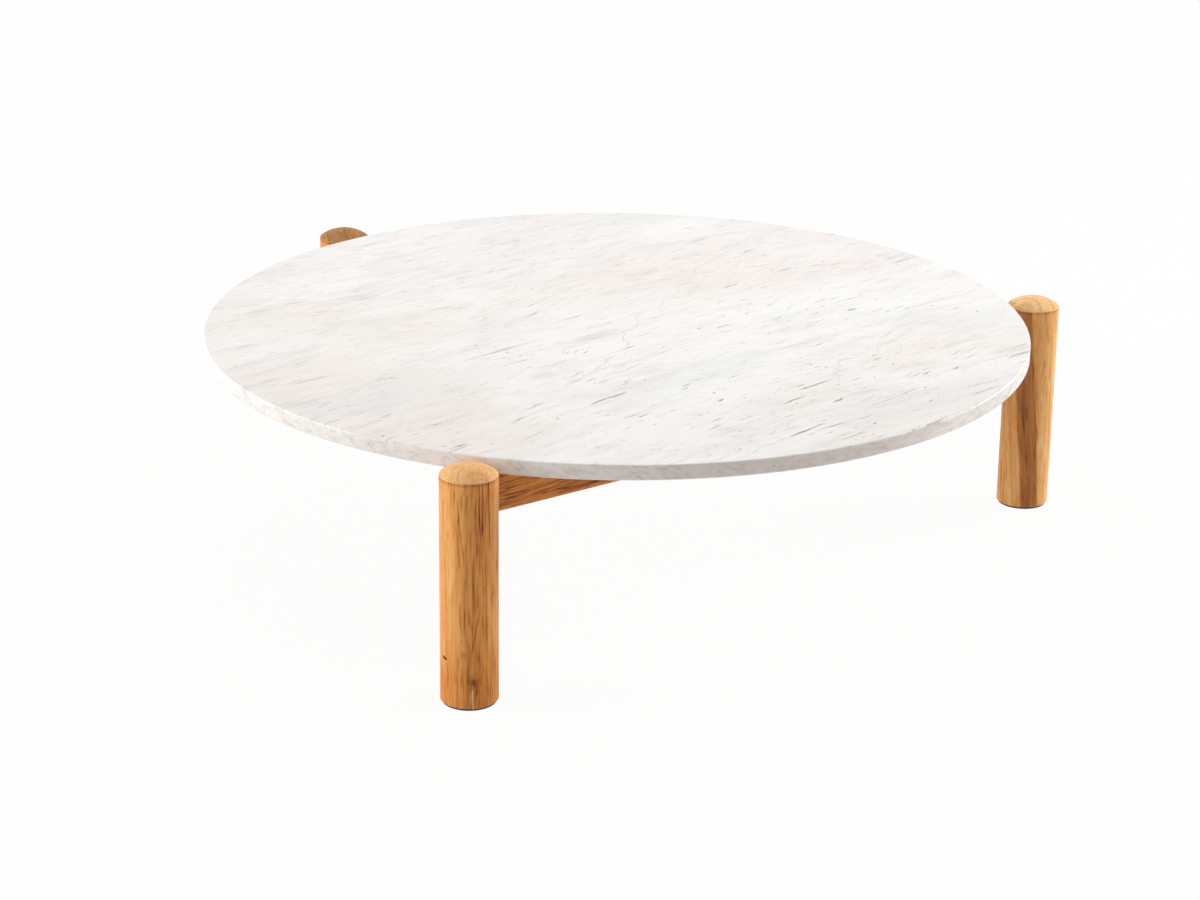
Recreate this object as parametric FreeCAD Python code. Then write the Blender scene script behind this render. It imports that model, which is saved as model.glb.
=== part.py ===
import FreeCAD, Part
import math
import os

# A low round table: a loose stone disc on a mitred triangle of teak rails, held between three
# round teak legs whose domed tops stand beside the stone's rim.
# Millimetres, Z up, origin on the floor under the middle of the stone.

# Stone top
top_diameter = 1200.0
top_thickness = 22.0
top_height = 325.0
top_edge_round = 2.5

# Legs, standing outside the stone's rim
leg_count = 3
leg_names = ("front", "right", "left")
front_leg_angle = math.radians(270.0)
leg_diameter = 77.0
leg_rim_gap = 5.0
dome_rise = 13.0
dome_above_stone = 4.0
dome_rim_round = 1.6
leg_foot_chamfer = 1.5

# Rails, set inside the lines between the legs' axes, mitred together in the corners, where a
# notch in each leg holds them, and shallower towards the legs
rail_names = ("front_right", "back", "front_left")
rail_inset = 8.0
rail_thickness = 22.0
rail_end_depth = 51.0
rail_mid_depth = 65.0
rail_taper_length = 296.0
rail_bend_radius = 900.0
rail_edge_chamfer = 1.5
mitre_gap = 0.1
notch_clearance = 0.2

# Silicone bumpers between the rails and the stone
bumper_diameter = 16.0
bumper_thickness = 2.0
bumper_edge_round = 0.6
bumper_place_shares = (-0.62, 0.0, 0.62)

# Loose tenons across the mitres, one above each bolt and one below it
tenon_thickness = 6.0
tenon_width = 16.0
tenon_in_rail = 10.0
tenon_rise = 13.0
tenon_place_share = 0.72
tenon_clearance = 0.1
tenon_end_gap = 0.5

# Hanger bolts, each through a corner block and a mitre into its leg
bolt_diameter = 8.0
bolt_in_leg = 31.0
bolt_past_nut = 5.0
bolt_end_chamfer = 0.8
bolt_leg_clearance = 0.1
bolt_hole_clearance = 0.5
washer_diameter = 16.0
washer_thickness = 1.6
washer_clearance = 0.2
nut_across_flats = 13.0
nut_height = 6.5
nut_clearance = 0.1
nut_corner_chamfer = 0.7

# Corner blocks, with a wing along each rail
block_nose_gap = 6.0
block_margin = 6.0
block_wing_reach = 160.0
block_wing_thickness = 18.0
block_seat_margin = 2.0
block_edge_chamfer = 1.5

# Countersunk screws through the wings into the rails
screw_diameter = 4.0
screw_head_diameter = 8.0
screw_head_height = 2.4
screw_head_sink = 0.4
screw_length = 35.0
screw_clearance = 0.1
screw_place_shares = (0.28, 0.76)

# Foot pads, each a flange under its leg with a spigot let into the wood, and one screw
pad_diameter = 72.0
pad_spigot_diameter = 56.0
pad_thickness = 6.0
pad_showing = 3.0
pad_edge_round = 1.2
pad_clearance = 0.3
pad_screw_length = 32.0
pad_screw_head_sink = 1.0

# One overrun for all cuts
overrun = 5.0

top_radius = top_diameter / 2
leg_radius = leg_diameter / 2
leg_axis_radius = top_radius + leg_rim_gap + leg_radius
leg_step = 2 * math.pi / leg_count
leg_spacing = 2 * leg_axis_radius * math.sin(leg_step / 2)
rail_bearing = math.pi / 2 - leg_step / 2
rail_inner_offset = rail_inset + rail_thickness
rail_middle_offset = rail_inset + rail_thickness / 2
rail_axis_radius = leg_axis_radius * math.cos(leg_step / 2) - rail_middle_offset
rail_slope = math.atan2(rail_mid_depth - rail_end_depth, rail_taper_length)
stone_underside = top_height - top_thickness
rail_top = stone_underside - bumper_thickness
joint_height = rail_top - rail_end_depth / 2
notch_offset = rail_inset - notch_clearance
notch_apex_x = notch_offset / math.sin(rail_bearing)
mitre_outer_x = rail_inset / math.sin(rail_bearing)
mitre_inner_x = rail_inner_offset / math.sin(rail_bearing)
tenon_x = mitre_outer_x + tenon_place_share * (mitre_inner_x - mitre_outer_x)
block_height = rail_end_depth - 2 * block_margin
seat_half_width = washer_diameter / 2 + block_seat_margin
wing_inner_offset = rail_inner_offset + block_wing_thickness
block_front_x = mitre_inner_x + block_nose_gap
block_seat_x = wing_inner_offset / math.sin(rail_bearing) + seat_half_width / math.tan(rail_bearing)
pad_recess = pad_thickness - pad_showing

up = FreeCAD.Vector(0, 0, 1)
home = FreeCAD.Vector(0, 0, 0)


def vec(x, y, z=0):
    return FreeCAD.Vector(x, y, z)


def turned(edges_or_points):
    """Spin a closed profile in the XZ plane once round the Z axis."""
    edges = []
    last = edges_or_points[0]
    for item in edges_or_points[1:]:
        if isinstance(item, tuple):
            edges.append(Part.Arc(last, item[0], item[1]).toShape())
            last = item[1]
        else:
            edges.append(Part.makeLine(last, item))
            last = item
    edges.append(Part.makeLine(last, edges_or_points[0]))
    return Part.Face(Part.Wire(edges)).revolve(home, up, math.degrees(2 * math.pi))


def quarter(centre, radius, angle):
    """Middle and end of a quarter round that starts at the given angle."""
    middle = angle + math.pi / 4
    end = angle + math.pi / 2
    return (
        vec(centre.x + radius * math.cos(middle), 0, centre.z + radius * math.sin(middle)),
        vec(centre.x + radius * math.cos(end), 0, centre.z + radius * math.sin(end)),
    )


def prism(points, bottom, height):
    """Stand a plan outline up between two heights."""
    outline = Part.makePolygon([vec(p.x, p.y, bottom) for p in points + points[:1]])
    return Part.Face(outline).extrude(up * height)


def rod(radius, length, start, direction):
    return Part.makeCylinder(radius, length, start, direction)


def along(direction, distance, side=0):
    """A plan point at a distance along a bearing, and off to its left."""
    return vec(
        distance * math.cos(direction) - side * math.sin(direction),
        distance * math.sin(direction) + side * math.cos(direction),
    )


def at_leg(shape, index):
    """From a corner's own frame, where the leg's axis is the origin and +X runs to the table's middle."""
    angle = front_leg_angle + index * leg_step
    placed = shape.copy()
    placed.rotate(home, up, math.degrees(angle + math.pi))
    placed.translate(along(angle, leg_axis_radius))
    return placed


def at_rail(shape, index):
    """From a rail's own frame, with its middle at the origin, X along it and +Y outwards."""
    angle = front_leg_angle + (index + 0.5) * leg_step
    placed = shape.copy()
    placed.rotate(home, up, math.degrees(angle - math.pi / 2))
    placed.translate(along(angle, rail_axis_radius))
    return placed


def stadium_bar(thickness, width, length):
    """A bar along +X from the origin, as thick in Y as given, with round upper and lower edges."""
    half = thickness / 2
    straight = width / 2 - half
    edges = [
        Part.makeLine(vec(0, half, -straight), vec(0, half, straight)),
        Part.Arc(vec(0, half, straight), vec(0, 0, straight + half), vec(0, -half, straight)).toShape(),
        Part.makeLine(vec(0, -half, straight), vec(0, -half, -straight)),
        Part.Arc(vec(0, -half, -straight), vec(0, 0, -straight - half), vec(0, half, -straight)).toShape(),
    ]
    return Part.Face(Part.Wire(edges)).extrude(vec(length, 0))


def at_rail_end(shape):
    """From a corner's own frame into that of the rail whose left end is in the corner."""
    placed = shape.copy()
    placed.rotate(home, up, -math.degrees(rail_bearing))
    placed.translate(vec(-leg_spacing / 2, rail_middle_offset))
    return placed


def corner_tenons(grow, end_gap):
    """Both tenons of one corner, or, grown by their clearance, the mortises that hold them."""
    bars = []
    reach = tenon_in_rail + end_gap
    for rise in (-tenon_rise, tenon_rise):
        bar = stadium_bar(tenon_thickness + 2 * grow, tenon_width + 2 * grow, 2 * reach)
        bar.rotate(home, vec(1, 0), math.degrees(math.pi / 2))
        bar.rotate(home, up, math.degrees(math.pi / 2))
        bar.translate(vec(tenon_x, -reach, joint_height + rise))
        bars.append(bar)
    return bars


def leg_notch():
    """The wedge that a leg's notch takes away, open towards the table's middle."""
    depth = rail_end_depth + leg_radius * math.tan(rail_slope) + 2 * notch_clearance
    walls = [
        vec(notch_apex_x, 0),
        along(-rail_bearing, leg_diameter, notch_offset),
        along(rail_bearing, leg_diameter, -notch_offset),
    ]
    return prism(walls, rail_top + notch_clearance - depth, depth)


def bolt_bore(clearance, start_x, end_x):
    """The hole for a corner's bolt between two distances from the leg's axis."""
    return rod(bolt_diameter / 2 + clearance, end_x - start_x, vec(start_x, 0, joint_height), vec(1, 0))


def rail_end_cuts():
    """What is taken off a rail's left end: the mitre, the bolt's half hole and the mortises."""
    depth = rail_mid_depth + 2 * overrun
    mitre = Part.makeBox(2 * leg_diameter, leg_diameter, depth,
                         vec(-leg_diameter, mitre_gap / 2 - leg_diameter, rail_top + overrun - depth))
    bore = bolt_bore(bolt_hole_clearance, mitre_outer_x - overrun, block_front_x + overrun)
    return [at_rail_end(s) for s in [mitre, bore] + corner_tenons(tenon_clearance, tenon_end_gap)]


def countersunk_screw(length, grow):
    """A screw along +Z from its flat head at the origin, or, grown by its clearance, its hole."""
    head = screw_head_diameter / 2 + grow
    shank = screw_diameter / 2 + grow
    return turned([
        vec(0, 0),
        vec(head, 0),
        vec(shank, 0, screw_head_height),
        vec(shank, 0, length - shank),
        vec(0, 0, length),
    ])


def screw_mouth(sink, start, direction):
    """The round way in above a sunk screw head, out past the face it is sunk below."""
    return rod(screw_head_diameter / 2 + screw_clearance, sink + overrun, start, direction * -1)


def aimed(shape, start, direction):
    """Move a shape from the Z axis to a start point and a direction."""
    placed = shape.copy()
    placed.Placement = FreeCAD.Placement(start, FreeCAD.Rotation(up, direction))
    return placed


def stone_top():
    r = top_edge_round
    inner = top_radius - r
    low = stone_underside + r
    high = top_height - r
    return turned([
        vec(0, 0, stone_underside),
        vec(inner, 0, stone_underside),
        quarter(vec(inner, 0, low), r, -math.pi / 2),
        vec(top_radius, 0, high),
        quarter(vec(inner, 0, high), r, 0),
        vec(0, 0, top_height),
    ])


def leg():
    crown = top_height + dome_above_stone
    rim = crown - dome_rise
    sphere = (leg_radius ** 2 + dome_rise ** 2) / (2 * dome_rise)
    half_reach = leg_radius / 2
    half_drop = sphere - math.sqrt(sphere ** 2 - half_reach ** 2)
    body = turned([
        vec(0, 0, pad_showing),
        vec(leg_radius - leg_foot_chamfer, 0, pad_showing),
        vec(leg_radius, 0, pad_showing + leg_foot_chamfer),
        vec(leg_radius, 0, rim),
        (vec(half_reach, 0, crown - half_drop), vec(0, 0, crown)),
    ])
    rims = [e for e in body.Edges if e.Closed and abs(e.CenterOfMass.z - rim) < dome_rim_round / 2]
    body = body.makeFillet(dome_rim_round, rims)
    pilot = bolt_bore(bolt_leg_clearance, notch_apex_x - bolt_in_leg, leg_radius + overrun)
    recess = rod(pad_spigot_diameter / 2 + pad_clearance, pad_recess + overrun,
                 vec(0, 0, pad_showing - overrun), up)
    body = body.cut(leg_notch()).cut(pilot).cut(recess)
    return body.cut(pad_screw(screw_clearance))


def rail():
    half = leg_spacing / 2
    knee = half - rail_taper_length
    end_z = rail_top - rail_end_depth
    mid_z = rail_top - rail_mid_depth
    half_slope = rail_slope / 2
    run = rail_bend_radius * math.tan(half_slope)
    bulge = rail_bend_radius * (1 / math.cos(half_slope) - 1)
    side = -rail_thickness / 2

    def bend(sign):
        level = vec(sign * (knee - run), side, mid_z)
        middle = vec(sign * (knee - bulge * math.sin(half_slope)), side, mid_z + bulge * math.cos(half_slope))
        rising = vec(sign * (knee + run * math.cos(rail_slope)), side, mid_z + run * math.sin(rail_slope))
        return level, middle, rising

    left = bend(-1)
    right = bend(1)
    corners = [
        vec(-half, side, rail_top),
        vec(-half, side, end_z),
        left[2],
        left[0],
        right[0],
        right[2],
        vec(half, side, end_z),
        vec(half, side, rail_top),
    ]
    edges = [Part.makeLine(a, b) for a, b in zip(corners, corners[1:] + corners[:1])]
    edges[2] = Part.Arc(left[2], left[1], left[0]).toShape()
    edges[4] = Part.Arc(right[0], right[1], right[2]).toShape()
    body = Part.Face(Part.Wire(edges)).extrude(vec(0, rail_thickness))
    long_edges = [e for e in body.Edges
                  if e.BoundBox.YLength < rail_thickness / 2 and e.BoundBox.XLength > rail_edge_chamfer]
    body = body.makeChamfer(rail_edge_chamfer, long_edges)
    for cutter in rail_end_cuts():
        body = body.cut(cutter).cut(cutter.mirror(home, vec(1, 0)))
    for start, direction in rail_screw_places():
        body = body.cut(aimed(countersunk_screw(screw_length, screw_clearance), start, direction))
    return body


def wing_screw_places():
    """Where the screws of one wing start, as distances from the leg's axis along the rail."""
    nearest = (block_seat_x - wing_inner_offset * math.sin(rail_bearing)) / math.cos(rail_bearing)
    return [nearest + share * (block_wing_reach - nearest) for share in screw_place_shares]


def rail_screw_places():
    """Starts and directions of the four block screws that a rail takes, in the rail's own frame."""
    places = []
    start_y = rail_middle_offset - wing_inner_offset + screw_head_sink
    for reach in wing_screw_places():
        for sign in (-1, 1):
            places.append((vec(sign * (leg_spacing / 2 - reach), start_y, joint_height), vec(0, 1)))
    return places


def corner_screw_places():
    """Starts and directions of a corner's block screws, in the corner's own frame."""
    places = []
    for sign in (-1, 1):
        bearing = sign * rail_bearing
        outward = along(bearing + sign * math.pi / 2, 1)
        for reach in wing_screw_places():
            start = along(bearing, reach, -sign * (wing_inner_offset - screw_head_sink))
            places.append((start + up * joint_height, outward))
    return places


def corner_block():
    face = rail_inner_offset
    sine = math.sin(rail_bearing)
    cosine = math.cos(rail_bearing)
    front_reach = (block_front_x - face * sine) / cosine
    seat_reach = (block_seat_x - wing_inner_offset * sine) / cosine
    upper = [
        along(rail_bearing, front_reach, -face),
        along(rail_bearing, block_wing_reach, -face),
        along(rail_bearing, block_wing_reach, -wing_inner_offset),
        along(rail_bearing, seat_reach, -wing_inner_offset),
    ]
    lower = [vec(p.x, -p.y) for p in reversed(upper)]
    body = prism(upper + lower, joint_height - block_height / 2, block_height)
    uprights = [e for e in body.Edges if e.BoundBox.ZLength > block_height / 2]
    wing_ends = [e for e in uprights if e.CenterOfMass.x > block_seat_x + block_edge_chamfer]
    body = body.makeChamfer(block_edge_chamfer, wing_ends)
    body = body.cut(bolt_bore(bolt_hole_clearance, block_front_x - overrun, block_seat_x + overrun))
    for start, direction in corner_screw_places():
        body = body.cut(aimed(countersunk_screw(screw_length, screw_clearance), start, direction))
        body = body.cut(screw_mouth(screw_head_sink, start, direction))
    return body


def hanger_bolt():
    start_x = notch_apex_x - bolt_in_leg
    length = block_seat_x - start_x + washer_thickness + nut_height + bolt_past_nut
    r = bolt_diameter / 2
    body = turned([
        vec(0, 0),
        vec(r - bolt_end_chamfer, 0),
        vec(r, 0, bolt_end_chamfer),
        vec(r, 0, length - bolt_end_chamfer),
        vec(r - bolt_end_chamfer, 0, length),
        vec(0, 0, length),
    ])
    return aimed(body, vec(start_x, 0, joint_height), vec(1, 0))


def hanger_washer():
    start = vec(block_seat_x, 0, joint_height)
    disc = rod(washer_diameter / 2, washer_thickness, start, vec(1, 0))
    return disc.cut(rod(bolt_diameter / 2 + washer_clearance, washer_thickness, start, vec(1, 0)))


def hanger_nut():
    corner = nut_across_flats / 2 / math.cos(math.pi / 6)
    hexagon = [along(math.pi / 6 + i * math.pi / 3, corner) for i in range(6)]
    body = prism(hexagon, 0, nut_height)
    cap = turned([
        vec(0, 0),
        vec(corner, 0),
        vec(corner, 0, nut_height - nut_corner_chamfer),
        vec(corner - 2 * nut_corner_chamfer, 0, nut_height),
        vec(0, 0, nut_height),
    ])
    body = body.common(cap).cut(rod(bolt_diameter / 2 + nut_clearance, nut_height, home, up))
    return aimed(body, vec(block_seat_x + washer_thickness, 0, joint_height), vec(1, 0))


def foot_pad():
    r = pad_edge_round
    radius = pad_diameter / 2
    spigot = pad_spigot_diameter / 2
    body = turned([
        vec(0, 0),
        vec(radius - r, 0),
        quarter(vec(radius - r, 0, r), r, -math.pi / 2),
        vec(radius, 0, pad_showing),
        vec(spigot, 0, pad_showing),
        vec(spigot, 0, pad_thickness),
        vec(0, 0, pad_thickness),
    ])
    mouth = screw_mouth(pad_screw_head_sink, up * pad_screw_head_sink, up)
    return body.cut(pad_screw(screw_clearance)).cut(mouth)


def pad_screw(grow):
    screw = countersunk_screw(pad_screw_length, grow)
    screw.translate(up * pad_screw_head_sink)
    return screw


def stone_bumper():
    r = bumper_edge_round
    radius = bumper_diameter / 2
    return turned([
        vec(0, 0, rail_top),
        vec(radius, 0, rail_top),
        vec(radius, 0, stone_underside - r),
        quarter(vec(radius - r, 0, stone_underside - r), r, 0),
        vec(0, 0, stone_underside),
    ])


def every_corner(shapes):
    return Part.makeCompound([at_leg(s, i) for i in range(leg_count) for s in shapes])


pieces = {"stone_top": stone_top()}
leg_shape = leg()
block_shape = corner_block()
pad_shape = foot_pad()
rail_shape = rail()
for i, name in enumerate(leg_names):
    pieces["leg_" + name] = at_leg(leg_shape, i)
    pieces["corner_block_" + name] = at_leg(block_shape, i)
    pieces["foot_pad_" + name] = at_leg(pad_shape, i)
for i, name in enumerate(rail_names):
    pieces["rail_" + name] = at_rail(rail_shape, i)

screw_shape = countersunk_screw(screw_length, 0)
pieces["block_screws"] = every_corner([aimed(screw_shape, *place) for place in corner_screw_places()])
pieces["loose_tenons"] = every_corner(corner_tenons(0, 0))
pieces["hanger_bolts"] = every_corner([hanger_bolt()])
pieces["hanger_washers"] = every_corner([hanger_washer()])
pieces["hanger_nuts"] = every_corner([hanger_nut()])
pieces["pad_screws"] = every_corner([pad_screw(0)])

bumpers = []
for i in range(leg_count):
    for share in bumper_place_shares:
        bumper = stone_bumper()
        bumper.translate(vec(share * leg_spacing / 2, 0))
        bumpers.append(at_rail(bumper, i))
pieces["stone_bumpers"] = Part.makeCompound(bumpers)

os.makedirs("parts", exist_ok=True)
for name, shape in pieces.items():
    shape.exportStep("parts/" + name + ".step")
    print(name, "solids", len(shape.Solids), "valid", shape.isValid(), "volume", round(shape.Volume))
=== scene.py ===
import math

import bpy
from mathutils import Matrix, Vector


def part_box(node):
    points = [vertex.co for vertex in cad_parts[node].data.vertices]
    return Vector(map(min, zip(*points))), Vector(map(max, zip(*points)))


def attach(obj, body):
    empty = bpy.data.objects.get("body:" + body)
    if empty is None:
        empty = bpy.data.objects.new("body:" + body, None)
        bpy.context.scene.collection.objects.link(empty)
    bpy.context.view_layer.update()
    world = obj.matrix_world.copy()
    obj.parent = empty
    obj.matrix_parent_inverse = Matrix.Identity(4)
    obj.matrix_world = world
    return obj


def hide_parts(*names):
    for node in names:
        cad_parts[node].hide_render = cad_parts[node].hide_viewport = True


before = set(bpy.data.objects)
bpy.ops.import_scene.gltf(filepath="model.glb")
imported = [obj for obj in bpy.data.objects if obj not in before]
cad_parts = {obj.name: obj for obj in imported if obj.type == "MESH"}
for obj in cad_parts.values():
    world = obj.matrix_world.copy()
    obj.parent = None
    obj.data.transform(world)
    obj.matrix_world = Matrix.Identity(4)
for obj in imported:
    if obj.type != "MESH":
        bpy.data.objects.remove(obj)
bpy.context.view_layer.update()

# Round marble table on three teak legs. Metres, Z up, origin on the floor under the stone.
# An edge in the dictionaries below is the width of a rounding and its steps.
cornerNames = ("front", "right", "left")
cornerTurns = [math.radians(a) for a in (90, 210, 330)]  # a corner's +X points to the middle
railNames = ("back", "front_left", "front_right")
railTurns = [math.radians(a) for a in (0, 120, 240)]
mergeGap = 2e-6  # points closer than this are one point
levelGap = 1e-5  # points closer than this lie in one plane
keyDigits = 7
sharpAngle = math.radians(25)
smoothUnder = math.radians(32)


# Selecting and placing

def takeUp(*pieces):  # selects them, the first one active
    bpy.ops.object.select_all(action="DESELECT")
    for piece in pieces:
        piece.select_set(True)
    bpy.context.view_layer.objects.active = pieces[0]


def settle(piece):  # the place goes into the mesh, the object stays at the origin
    takeUp(piece)
    bpy.ops.object.transform_apply(location=True, rotation=True, scale=True)
    return piece


def named(name):
    piece = bpy.context.active_object
    piece.name = name
    piece.data.name = name
    return settle(piece)


def openAll(piece):  # edit mode, with everything selected
    takeUp(piece)
    bpy.ops.object.mode_set(mode="EDIT")
    bpy.ops.mesh.select_all(action="SELECT")


def pick(piece, kind, test):  # edit mode, with the points or edges that pass the test selected
    takeUp(piece)
    bpy.ops.object.mode_set(mode="EDIT")
    bpy.ops.mesh.select_mode(type=kind)
    bpy.ops.mesh.select_all(action="DESELECT")
    bpy.ops.object.mode_set(mode="OBJECT")
    points = piece.data.vertices
    if kind == "VERT":
        for point in points:
            point.select = test(point.co)
    else:
        for edge in piece.data.edges:
            edge.select = test(*[points[i].co for i in edge.vertices])
    bpy.ops.object.mode_set(mode="EDIT")


def endEdit():
    bpy.ops.object.mode_set(mode="OBJECT")


def softenEdges(piece, test, width, steps):
    pick(piece, "EDGE", test)
    bpy.ops.mesh.bevel(
        offset=width, offset_type="OFFSET", segments=steps, profile=0.5, affect="EDGES")
    endEdit()


def edgeKey(a, b):
    return tuple(sorted(tuple(round(c, keyDigits) for c in point) for point in (a, b)))


def sharpCorner(piece):  # a test for edges whose faces meet at a corner
    normals = {}
    for face in piece.data.polygons:
        for pair in face.edge_keys:
            ends = [piece.data.vertices[i].co for i in pair]
            normals.setdefault(edgeKey(*ends), []).append(face.normal.copy())

    def test(a, b):
        around = normals.get(edgeKey(a, b), [])
        return len(around) == 2 and around[0].angle(around[1]) > sharpAngle
    return test


def drawLine(name, points):  # one vertex, extruded from point to point
    bpy.ops.mesh.primitive_plane_add(location=points[0])
    bpy.ops.object.mode_set(mode="EDIT")
    bpy.ops.mesh.select_mode(type="VERT")
    bpy.ops.mesh.select_all(action="SELECT")
    bpy.ops.mesh.merge(type="CENTER")
    for last, point in zip(points, points[1:]):
        move = Vector(point) - Vector(last)
        bpy.ops.mesh.extrude_region_move(TRANSFORM_OT_translate={"value": move})
    endEdit()
    return named(name)


def tidyShell(piece):
    openAll(piece)
    bpy.ops.mesh.remove_doubles(threshold=mergeGap)
    bpy.ops.mesh.normals_make_consistent(inside=False)
    endEdit()
    return piece


def turnOnLathe(name, profile, steps):  # (radius, height) points, spun round the upright axis
    piece = drawLine(name, [(r, 0, z) for r, z in profile])
    openAll(piece)
    bpy.ops.mesh.spin(steps=steps, angle=2 * math.pi, center=(0, 0, 0), axis=(0, 0, 1))
    endEdit()
    return tidyShell(piece)


def standUp(name, outline, low, high):  # a plan outline, stood up between two heights
    piece = drawLine(name, [p + Vector((0, 0, low)) for p in outline])
    openAll(piece)
    bpy.ops.mesh.edge_face_add()
    bpy.ops.mesh.extrude_region_move(TRANSFORM_OT_translate={"value": (0, 0, high - low)})
    endEdit()
    return tidyShell(piece)


def block(name, size, middle, turn=0.0):
    bpy.ops.mesh.primitive_cube_add(size=1, location=middle, rotation=(0, 0, turn), scale=size)
    return named(name)


def rod(name, radius, start, end, sides=48):
    start, end = Vector(start), Vector(end)
    bpy.ops.mesh.primitive_cylinder_add(
        vertices=sides, radius=radius, depth=(end - start).length, location=(start + end) / 2,
        rotation=(end - start).to_track_quat("Z", "Y").to_euler())
    return named(name)


def carve(piece, cutter, way="DIFFERENCE"):
    takeUp(piece)
    bpy.ops.object.modifier_add(type="BOOLEAN")
    cut = piece.modifiers[-1]
    cut.operation = way
    cut.solver = "EXACT"
    cut.object = cutter
    bpy.ops.object.modifier_apply(modifier=cut.name)
    bpy.data.objects.remove(cutter)


def copyTo(piece, name, turn=0.0, move=(0, 0, 0)):  # its own mesh, turned round Z, then moved
    takeUp(piece)
    bpy.ops.object.duplicate()
    twin = bpy.context.active_object
    twin.rotation_euler = (0, 0, turn)
    twin.location = move
    return named(name)


def joined(name, pieces):
    takeUp(*pieces)
    bpy.ops.object.join()
    return named(name)


def dress(piece, finish, body, slot, *nodes):
    takeUp(piece)
    bpy.ops.object.shade_smooth_by_angle(angle=smoothUnder)
    piece.data.materials.clear()
    piece.data.materials.append(finish)
    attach(piece, body)
    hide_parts(*nodes)
    print("dressed", piece.name, len(piece.data.polygons), "faces")


# Nodes

def shade(red, green, blue):  # a colour as a screen shows it, to linear light
    parts = [c / 255 for c in (red, green, blue)]
    return tuple(c / 12.92 if c < 0.04045 else ((c + 0.055) / 1.055) ** 2.4 for c in parts) + (1.0,)


def feed(tree, node, values):  # links or plain values, into a node's sockets
    for key, value in values.items():
        if isinstance(value, bpy.types.NodeSocket):
            tree.links.new(value, node.inputs[key])
        else:
            node.inputs[key].default_value = value


def put(tree, kind, values=None, **settings):  # a new node, whose outputs come back
    made = tree.nodes.new("ShaderNode" + kind)
    for key, value in settings.items():
        setattr(made, key, value)
    feed(tree, made, values or {})
    return made.outputs


def calc(tree, operation, *values):
    return put(tree, "Math", dict(enumerate(values)), operation=operation)[0]


def times(tree, value, *others):
    for other in others:
        value = calc(tree, "MULTIPLY", value, other)
    return value


def vectorCalc(tree, operation, *values, gives=0):
    return put(tree, "VectorMath", dict(enumerate(values)), operation=operation)[gives]


def measure(tree, operation, *values):  # a vector sum that ends in a number
    return vectorCalc(tree, operation, *values, gives="Value")


def part(tree, vector, axis):
    return put(tree, "SeparateXYZ", {0: vector})[axis]


def mapped(tree, vector, turn=(0, 0, 0), move=(0, 0, 0)):
    return put(tree, "Mapping", {"Vector": vector, "Rotation": turn, "Location": move})[0]


def facingUp(tree):
    return part(tree, put(tree, "TexCoord")["Normal"], "Z")


def fade(tree, value, low, high, bottom=0.0, top=1.0):
    values = {"Value": value, "From Min": low, "From Max": high, "To Min": bottom, "To Max": top}
    return put(tree, "MapRange", values, interpolation_type="SMOOTHSTEP")[0]


def tint(tree, amount, under, over, way="MIX"):
    values = {0: amount, 6: under, 7: over}
    return put(tree, "Mix", values, data_type="RGBA", blend_type=way)[2]


def ramp(tree, value, stops):
    made = put(tree, "ValToRGB", {"Fac": value})[0]
    marks = made.node.color_ramp.elements
    marks[0].position, marks[0].color = stops[0]
    marks[1].position, marks[1].color = stops[-1]
    for place, colour in stops[1:-1]:
        marks.new(place).color = colour
    return made


def cloud(tree, vector, stretch, detail, rough, seed, gives="Fac"):
    scaled = vectorCalc(tree, "MULTIPLY", vector, stretch)
    values = {"Vector": scaled, "W": seed, "Scale": 1.0, "Detail": detail, "Roughness": rough}
    return put(tree, "TexNoise", values, noise_dimensions="4D")[gives]


def patch(tree, vector, noise, band):
    return fade(tree, cloud(tree, vector, *noise), *band)


def bumped(tree, height, strength, distance):
    return put(tree, "Bump", {"Height": height, "Strength": strength, "Distance": distance})[0]


def newGroup(name, takes, gives):
    group = bpy.data.node_groups.new(name, "ShaderNodeTree")
    for label, value in takes.items():
        kind = "NodeSocketVector" if isinstance(value, tuple) else "NodeSocketFloat"
        socket = group.interface.new_socket(name=label, in_out="INPUT", socket_type=kind)
        socket.default_value = value
    for label, kind in gives.items():
        group.interface.new_socket(name=label, in_out="OUTPUT", socket_type="NodeSocket" + kind)
    entry = group.nodes.new("NodeGroupInput")
    leave = group.nodes.new("NodeGroupOutput")
    return group, entry.outputs, leave


def newFinish(name, sockets):
    finish = bpy.data.materials.new(name)
    finish.use_nodes = True
    tree = finish.node_tree
    shader = tree.nodes["Principled BSDF"]
    feed(tree, shader, sockets)
    return finish, tree, shader, put(tree, "TexCoord")["Object"]


# Effects that several finishes share

def buildBentSpace():  # bends a pattern's space a little, so that its lines wander
    takes = {"Vector": (0, 0, 0), "Stretch": (1, 1, 1), "Amount": 0.01, "Seed": 0.0}
    group, has, leave = newGroup("bentSpace", takes, {"Vector": "Vector"})
    wander = cloud(group, has["Vector"], has["Stretch"], 2.0, 0.5, has["Seed"], "Color")
    centred = vectorCalc(group, "SUBTRACT", wander, (0.5, 0.5, 0.5))
    scaled = put(group, "VectorMath", {0: centred, "Scale": has["Amount"]}, operation="SCALE")[0]
    feed(group, leave, {"Vector": vectorCalc(group, "ADD", has["Vector"], scaled)})
    return group


def buildDashMask():  # sparse short dashes drawn out along one axis
    takes = {"Vector": (0, 0, 0), "Stretch": (1, 1, 1), "Low": 0.6, "High": 0.7, "Seed": 0.0}
    group, has, leave = newGroup("dashMask", takes, {"Mask": "Float"})
    spots = cloud(group, has["Vector"], has["Stretch"], 1.0, 0.5, has["Seed"])
    feed(group, leave, {"Mask": fade(group, spots, has["Low"], has["High"])})
    return group


bentSpace = buildBentSpace()
dashMask = buildDashMask()


def bend(tree, vector, stretch, amount, seed):
    values = {"Vector": vector, "Stretch": stretch, "Amount": amount, "Seed": seed}
    return put(tree, "Group", values, node_tree=bentSpace)["Vector"]


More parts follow.
